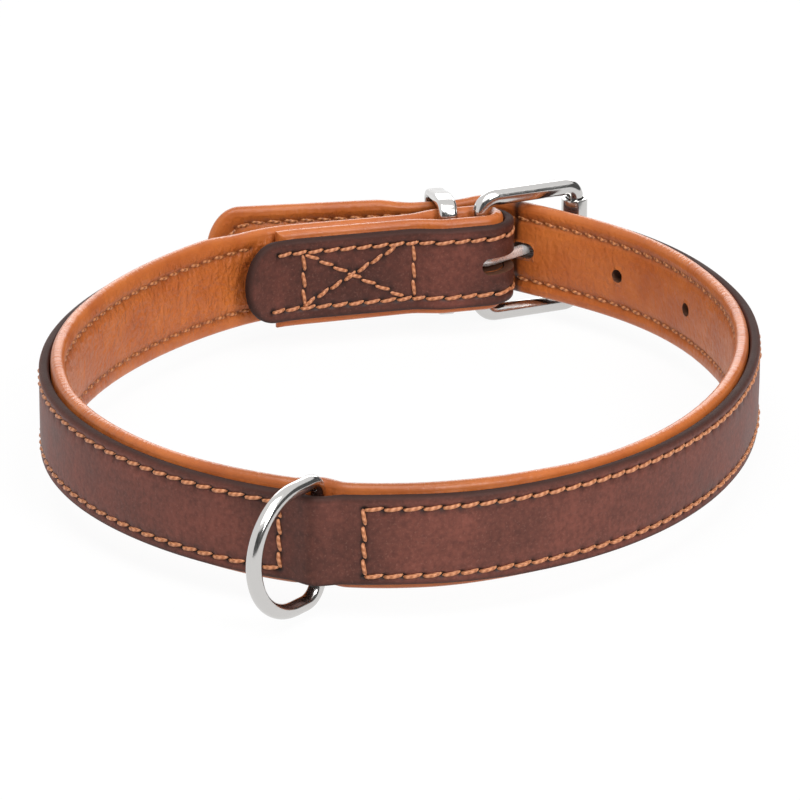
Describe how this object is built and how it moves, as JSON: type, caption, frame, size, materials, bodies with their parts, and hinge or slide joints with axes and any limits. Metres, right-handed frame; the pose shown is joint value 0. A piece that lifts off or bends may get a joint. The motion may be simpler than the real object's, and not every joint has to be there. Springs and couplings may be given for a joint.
{
  "type": "leather buckle collar",
  "caption": "Two-ply leather pet collar, a dark strap sewn on a padded tan lining, with roller buckle, prong, steel keeper and a D-ring for a leash held between the plies.",
  "frame": {"origin": "centre of the overall box, on the surface that the collar stands on edge on", "axes": "+Z across the strap's width; the closure lies along X at the back (+Y) and the D-ring is at the front left (-X, -Y)"},
  "size_m": [0.1466, 0.1712, 0.0286],
  "materials": {
    "oiled_leather": "oiled, matt, with pull-up marks",
    "nappa_leather": "soft grained, semi-matt",
    "foam": "plain",
    "waxed_thread": "twisted, waxed",
    "polished_steel": "polished"
  },
  "bodies": {
    "collar": {"outer_strap": "oiled_leather", "lining": "nappa_leather", "padding": "foam", "left_seam_thread": "waxed_thread", "left_seam_bobbin_thread": "waxed_thread", "right_seam_thread": "waxed_thread", "right_seam_bobbin_thread": "waxed_thread", "box_stitch_thread": "waxed_thread", "box_stitch_bobbin_thread": "waxed_thread"},
    "d_ring": {"d_ring": "polished_steel"},
    "buckle_frame": {"buckle_frame": "polished_steel"},
    "buckle_roller": {"buckle_roller": "polished_steel"},
    "buckle_prong": {"buckle_prong": "polished_steel"},
    "keeper": {"keeper_loop": "polished_steel"}
  },
  "joints": [
    {"name": "d_ring_swing", "type": "hinge", "parent": "collar", "child": "d_ring", "pos_m": [-0.03544, -0.07289, 0.0147], "axis": [0, 0, 1], "range_deg": [-41.8, 88.2]},
    {"name": "buckle_rock", "type": "hinge", "parent": "collar", "child": "buckle_frame", "pos_m": [0.035, 0.0658, 0.0144], "axis": [0, 0, 1], "range_deg": [-3, 3]},
    {"name": "roller_spin", "type": "hinge", "parent": "buckle_frame", "child": "buckle_roller", "pos_m": [0.05633, 0.06918, 0.0144], "axis": [0, 0, 1], "continuous": true},
    {"name": "prong_lift", "type": "hinge", "parent": "buckle_frame", "child": "buckle_prong", "pos_m": [0.035, 0.0658, 0.0151], "axis": [0, 0, 1], "range_deg": [0, 4]},
    {"name": "keeper_slide", "type": "slide", "parent": "collar", "child": "keeper", "axis": [1, 0, 0], "range_m": [-0.002, 0.0005]}
  ]
}
